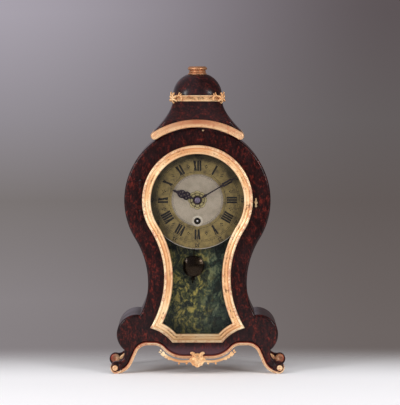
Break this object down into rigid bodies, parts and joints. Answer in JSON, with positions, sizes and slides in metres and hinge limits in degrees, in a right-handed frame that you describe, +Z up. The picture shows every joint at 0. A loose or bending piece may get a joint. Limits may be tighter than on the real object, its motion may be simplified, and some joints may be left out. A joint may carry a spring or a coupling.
{
  "type": "table clock",
  "caption": "Waisted table clock: dark painted case on scroll feet, gilt mouldings, glazed door over a brass dial, short pendulum and a spring-driven movement.",
  "frame": {"origin": "on the ground, under the middle of the case", "axes": "+X to the right as seen from the front, -Y the way the dial faces, +Z up"},
  "size_m": [0.2654, 0.148, 0.45],
  "materials": {
    "painted_wood": "dark tortoiseshell paint under gloss varnish",
    "gilt": "leaf gilding over red ground, rubbed",
    "green_board": "marbled green paint, satin",
    "glass": "clear, flat",
    "dark_iron": "browned iron",
    "dial_brass": "dull tarnished brass, engraved and waxed",
    "silvered": "silvered, brushed",
    "hand_steel": "dark browned steel",
    "movement_brass": "brushed brass",
    "movement_steel": "polished steel",
    "bob_brass": "dark patinated brass",
    "block_wood": "bare softwood"
  },
  "bodies": {
    "case": {"front_panel": "painted_wood", "back_panel": "painted_wood", "side_left": "painted_wood", "side_right": "painted_wood", "case_floor": "painted_wood", "hood_roof": "painted_wood", "hood_moulding": "gilt", "hood_band": "gilt", "hood_corner_mounts": "gilt", "hood_dome": "painted_wood", "finial": "gilt", "apron_strip": "gilt", "foot_scrolls": "gilt", "apron_mount": "gilt", "case_nails": "dial_brass", "backboard": "green_board", "board_blocks": "block_wood", "hinge_leaves": "dark_iron", "hinge_pins": "dark_iron", "turn_screws": "dial_brass", "dial_plate": "dial_brass", "dial_centre": "silvered", "dial_rosette": "gilt", "dial_feet": "movement_brass", "minute_stud": "movement_steel", "front_plate": "movement_brass", "back_plate": "movement_brass", "pillars": "movement_brass", "taper_pins": "movement_steel", "movement_straps": "movement_brass", "movement_screws": "movement_steel", "click_spring": "movement_steel", "back_cock": "movement_brass"},
    "front_door": {"door_frame": "gilt", "door_glass": "glass", "door_hinge_straps": "dark_iron"},
    "front_catch": {"door_catch": "dial_brass"},
    "back_door": {"rear_door": "painted_wood", "rear_hinge_straps": "dark_iron"},
    "back_button": {"rear_button": "dial_brass"},
    "centre": {"centre_arbor": "movement_steel", "centre_wheel": "movement_brass", "cannon_pinion": "movement_steel", "minute_hand": "hand_steel", "hand_collet": "movement_steel"},
    "hour": {"hour_wheel": "movement_brass", "hour_hand": "hand_steel"},
    "motion_wheel": {"minute_wheel": "movement_brass"},
    "going_barrel": {"barrel": "movement_brass", "barrel_cover": "movement_brass", "mainspring": "movement_steel"},
    "winding": {"barrel_arbor": "movement_steel", "ratchet_wheel": "movement_steel"},
    "winding_click": {"click": "movement_steel"},
    "third": {"third_wheel": "movement_brass"},
    "escape": {"escape_wheel": "movement_brass"},
    "pendulum": {"anchor": "movement_steel", "pendulum_rod": "bob_brass", "pendulum_bob": "bob_brass", "rating_nut": "bob_brass"}
  },
  "joints": [
    {"name": "front_door_hinge", "type": "hinge", "parent": "case", "child": "front_door", "pos_m": [-0.0839, -0.067, 0.2546], "axis": [0, 0, -1], "range_deg": [0, 110]},
    {"name": "front_catch_turn", "type": "hinge", "parent": "case", "child": "front_catch", "pos_m": [0.0856, -0.06, 0.252], "axis": [0, -1, 0], "range_deg": [0, 90]},
    {"name": "back_door_hinge", "type": "hinge", "parent": "case", "child": "back_door", "pos_m": [-0.0494, 0.0644, 0.246], "axis": [0, 0, 1], "range_deg": [0, 110]},
    {"name": "back_button_turn", "type": "hinge", "parent": "case", "child": "back_button", "pos_m": [0.057, 0.063, 0.246], "axis": [0, 1, 0], "range_deg": [0, 90]},
    {"name": "centre_arbor_turn", "type": "hinge", "parent": "case", "child": "centre", "pos_m": [0, 0, 0.2546], "axis": [0, 1, 0], "continuous": true},
    {"name": "hour_wheel_turn", "type": "hinge", "parent": "case", "child": "hour", "pos_m": [0, 0, 0.2546], "axis": [0, 1, 0], "continuous": true},
    {"name": "motion_wheel_turn", "type": "hinge", "parent": "case", "child": "motion_wheel", "pos_m": [0.018, 0, 0.2546], "axis": [0, 1, 0], "continuous": true},
    {"name": "barrel_turn", "type": "hinge", "parent": "case", "child": "going_barrel", "pos_m": [0, 0, 0.2238], "axis": [0, 1, 0], "continuous": true},
    {"name": "third_wheel_turn", "type": "hinge", "parent": "case", "child": "third", "pos_m": [0.01466, 0, 0.26893], "axis": [0, 1, 0], "continuous": true},
    {"name": "escape_wheel_turn", "type": "hinge", "parent": "case", "child": "escape", "pos_m": [0, 0, 0.27987], "axis": [0, 1, 0], "continuous": true},
    {"name": "winding_turn", "type": "hinge", "parent": "case", "child": "winding", "pos_m": [0, 0, 0.2238], "axis": [0, 1, 0], "continuous": true},
    {"name": "click_lift", "type": "hinge", "parent": "case", "child": "winding_click", "pos_m": [0.0095, 0, 0.2363], "axis": [0, 1, 0], "range_deg": [0, 6.5], "stiffness_Nm_per_rad": 0.001, "springref_deg": -11.46},
    {"name": "pendulum_swing", "type": "hinge", "parent": "case", "child": "pendulum", "pos_m": [0, 0, 0.2926], "axis": [0, 1, 0], "range_deg": [-7.5, 2.5]}
  ],
  "couplings": [
    {"joint": "hour_wheel_turn", "follows": "centre_arbor_turn", "ratio": 0.083333},
    {"joint": "motion_wheel_turn", "follows": "centre_arbor_turn", "ratio": -0.33333},
    {"joint": "barrel_turn", "follows": "centre_arbor_turn", "ratio": -0.125},
    {"joint": "third_wheel_turn", "follows": "centre_arbor_turn", "ratio": -12},
    {"joint": "escape_wheel_turn", "follows": "centre_arbor_turn", "ratio": 162}
  ]
}
